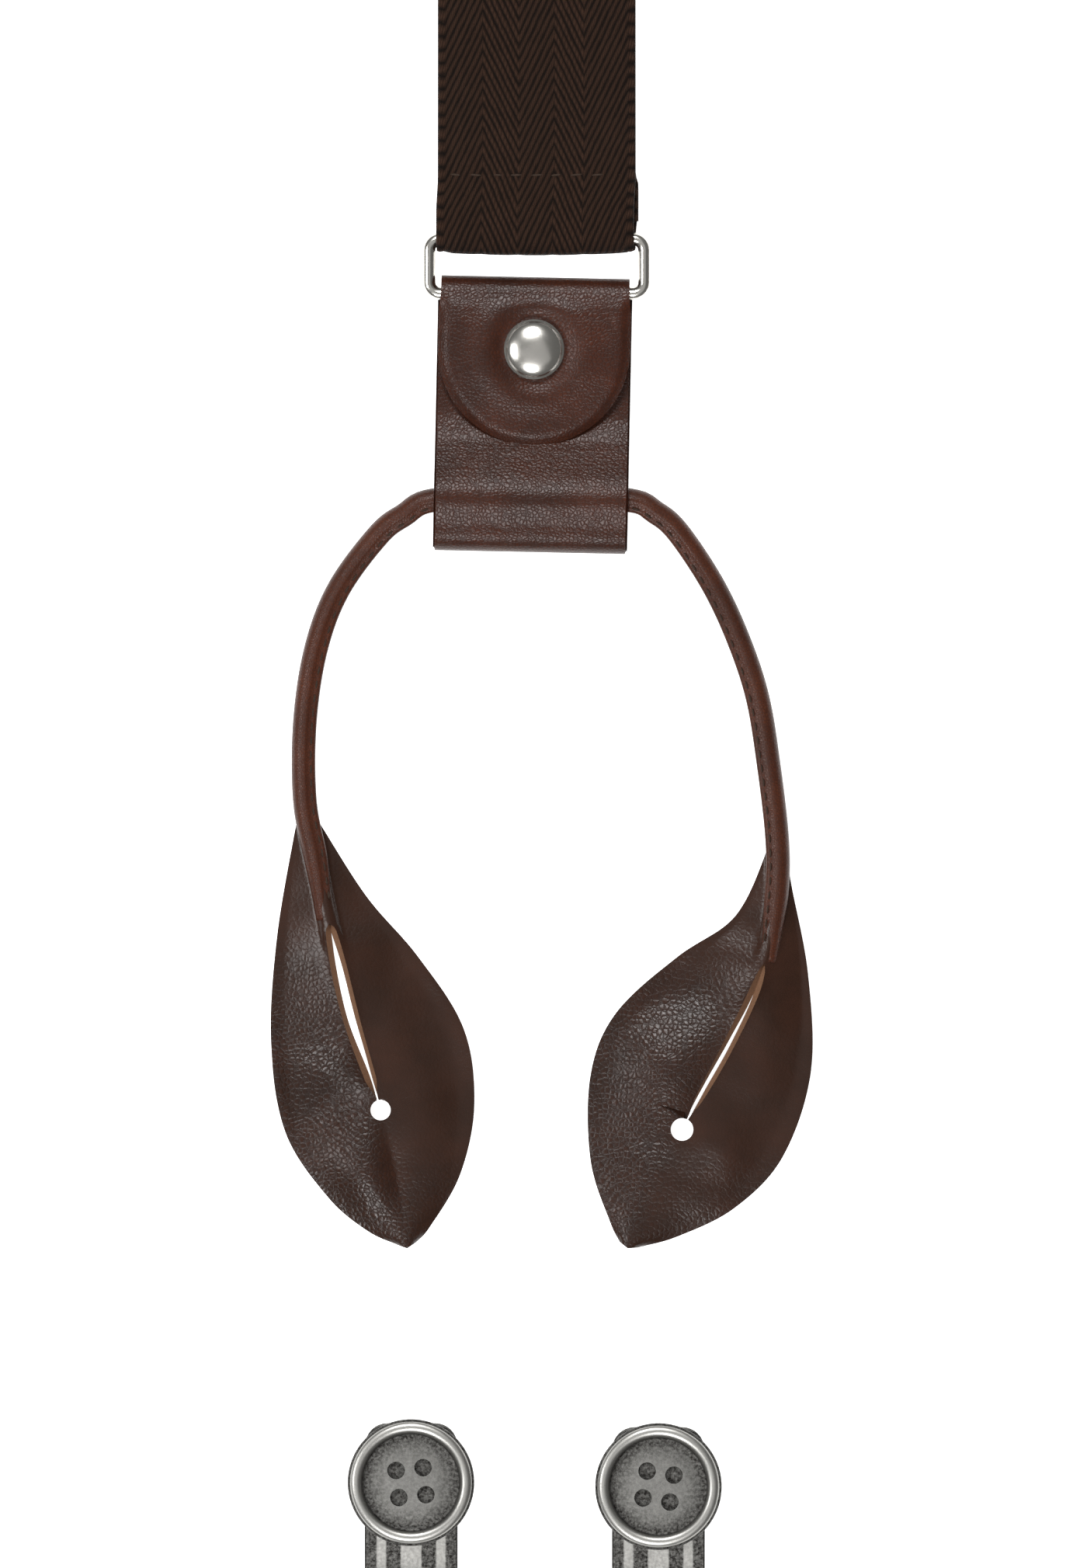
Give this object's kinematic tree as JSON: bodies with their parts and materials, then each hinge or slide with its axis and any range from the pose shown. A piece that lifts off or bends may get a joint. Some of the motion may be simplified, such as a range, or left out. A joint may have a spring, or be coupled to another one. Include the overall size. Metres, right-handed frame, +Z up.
{
  "type": "suspenders",
  "caption": "Y-back suspenders with herringbone elastic webbing, leather button ends on wire rings, adjusters and clip-on buttons, laid flat.",
  "frame": {"origin": "on the ground, in the middle of the laid-out pair's outline", "axes": "+Z up; +Y towards the shoulders, -Y towards the leather ends; +X to the right seen from above"},
  "size_m": [0.4501, 0.528, 0.014],
  "materials": {
    "webbing": "dark brown herringbone elastic webbing",
    "leather": "dark brown pebbled leather, semi-gloss, tan cut edges",
    "core_cord": "natural cotton cord",
    "nickel": "polished nickel plate",
    "antique_silver": "antiqued silver plate, darker in its recesses",
    "spring_steel": "bright spring steel"
  },
  "bodies": {
    "root": {"back_strap": "webbing", "left_front_strap": "webbing", "right_front_strap": "webbing", "patch_back": "leather", "patch_front": "leather", "left_adjuster_frame": "nickel", "left_adjuster_pin": "nickel", "right_adjuster_frame": "nickel", "right_adjuster_pin": "nickel"},
    "back_ring": {"back_ring": "nickel"},
    "back_tab": {"back_tab_strap": "leather", "back_snap_stud": "nickel", "back_snap_post": "nickel"},
    "back_flap": {"back_tab_flap": "leather", "back_snap_cap": "nickel", "back_snap_socket": "nickel"},
    "back_runner": {"back_runner": "leather", "back_runner_core": "core_cord"},
    "left_ring": {"left_ring": "nickel"},
    "left_tab": {"left_tab_strap": "leather", "left_snap_stud": "nickel", "left_snap_post": "nickel"},
    "left_flap": {"left_tab_flap": "leather", "left_snap_cap": "nickel", "left_snap_socket": "nickel"},
    "left_runner": {"left_runner": "leather", "left_runner_core": "core_cord"},
    "right_ring": {"right_ring": "nickel"},
    "right_tab": {"right_tab_strap": "leather", "right_snap_stud": "nickel", "right_snap_post": "nickel"},
    "right_flap": {"right_tab_flap": "leather", "right_snap_cap": "nickel", "right_snap_socket": "nickel"},
    "right_runner": {"right_runner": "leather", "right_runner_core": "core_cord"},
    "left_cover": {"left_adjuster_cover": "nickel"},
    "right_cover": {"right_adjuster_cover": "nickel"},
    "left_clip_base": {"left_clip_back_jaw": "antique_silver", "left_clip_pin": "spring_steel", "left_clip_spring": "spring_steel"},
    "left_clip_front": {"left_clip_front_jaw": "antique_silver", "left_clip_shank": "antique_silver", "left_clip_button": "antique_silver"},
    "right_clip_base": {"right_clip_back_jaw": "antique_silver", "right_clip_pin": "spring_steel", "right_clip_spring": "spring_steel"},
    "right_clip_front": {"right_clip_front_jaw": "antique_silver", "right_clip_shank": "antique_silver", "right_clip_button": "antique_silver"}
  },
  "joints": [
    {"name": "back_ring_swing", "type": "hinge", "parent": "root", "child": "back_ring", "pos_m": [-0.00084, -0.0118, 0.00295], "axis": [1, 0, 0], "range_deg": [-80, 80]},
    {"name": "back_tab_swing", "type": "hinge", "parent": "back_ring", "child": "back_tab", "pos_m": [-0.00084, -0.0215, 0.00295], "axis": [1, 0, 0], "range_deg": [-80, 80]},
    {"name": "back_flap_open", "type": "hinge", "parent": "back_tab", "child": "back_flap", "pos_m": [-0.0011, -0.02165, 0.0059], "axis": [-0.9998, 0.0209, 0], "range_deg": [0, 110]},
    {"name": "back_runner_swing", "type": "hinge", "parent": "back_tab", "child": "back_runner", "pos_m": [-0.00185, -0.05769, 0.0041], "axis": [-1, 0, 0], "range_deg": [-90, 90]},
    {"name": "left_ring_swing", "type": "hinge", "parent": "root", "child": "left_ring", "pos_m": [-0.13419, -0.0118, 0.00295], "axis": [0.9511, -0.309, 0], "range_deg": [-80, 80]},
    {"name": "left_tab_swing", "type": "hinge", "parent": "left_ring", "child": "left_tab", "pos_m": [-0.13718, -0.02102, 0.00295], "axis": [0.9511, -0.309, 0], "range_deg": [-80, 80]},
    {"name": "left_flap_open", "type": "hinge", "parent": "left_tab", "child": "left_flap", "pos_m": [-0.13747, -0.02109, 0.0059], "axis": [-0.9444, 0.3289, 0], "range_deg": [0, 110]},
    {"name": "left_runner_swing", "type": "hinge", "parent": "left_tab", "child": "left_runner", "pos_m": [-0.14933, -0.05513, 0.0041], "axis": [-0.9511, 0.309, 0], "range_deg": [-90, 90]},
    {"name": "right_ring_swing", "type": "hinge", "parent": "root", "child": "right_ring", "pos_m": [0.1325, -0.0118, 0.00295], "axis": [0.9511, 0.309, 0], "range_deg": [-80, 80]},
    {"name": "right_tab_swing", "type": "hinge", "parent": "right_ring", "child": "right_tab", "pos_m": [0.1355, -0.02102, 0.00295], "axis": [0.9511, 0.309, 0], "range_deg": [-80, 80]},
    {"name": "right_flap_open", "type": "hinge", "parent": "right_tab", "child": "right_flap", "pos_m": [0.1353, -0.02125, 0.0059], "axis": [-0.9573, -0.289, 0], "range_deg": [0, 110]},
    {"name": "right_runner_swing", "type": "hinge", "parent": "right_tab", "child": "right_runner", "pos_m": [0.14572, -0.05576, 0.0041], "axis": [-0.9511, -0.309, 0], "range_deg": [-90, 90]},
    {"name": "left_cover_open", "type": "hinge", "parent": "root", "child": "left_cover", "pos_m": [-0.10112, 0.08996, 0.005], "axis": [-0.9511, 0.309, 0], "range_deg": [0, 100]},
    {"name": "right_cover_open", "type": "hinge", "parent": "root", "child": "right_cover", "pos_m": [0.09943, 0.08996, 0.005], "axis": [-0.9511, -0.309, 0], "range_deg": [0, 100]},
    {"name": "left_clip_lift", "type": "slide", "parent": "root", "child": "left_clip_base", "axis": [0, 0, 1], "range_m": [0, 0.06]},
    {"name": "left_clip_jaw", "type": "hinge", "parent": "left_clip_base", "child": "left_clip_front", "pos_m": [-0.02304, -0.2425, 0.0029], "axis": [-1, 0, 0], "range_deg": [0, 13], "stiffness_Nm_per_rad": 0.15, "springref_deg": -20.05, "deforming": ["left_clip_spring"]},
    {"name": "right_clip_lift", "type": "slide", "parent": "root", "child": "right_clip_base", "axis": [0, 0, 1], "range_m": [0, 0.06]},
    {"name": "right_clip_jaw", "type": "hinge", "parent": "right_clip_base", "child": "right_clip_front", "pos_m": [0.02066, -0.2432, 0.0029], "axis": [-1, 0, 0], "range_deg": [0, 13], "stiffness_Nm_per_rad": 0.15, "springref_deg": -20.05, "deforming": ["right_clip_spring"]}
  ]
}
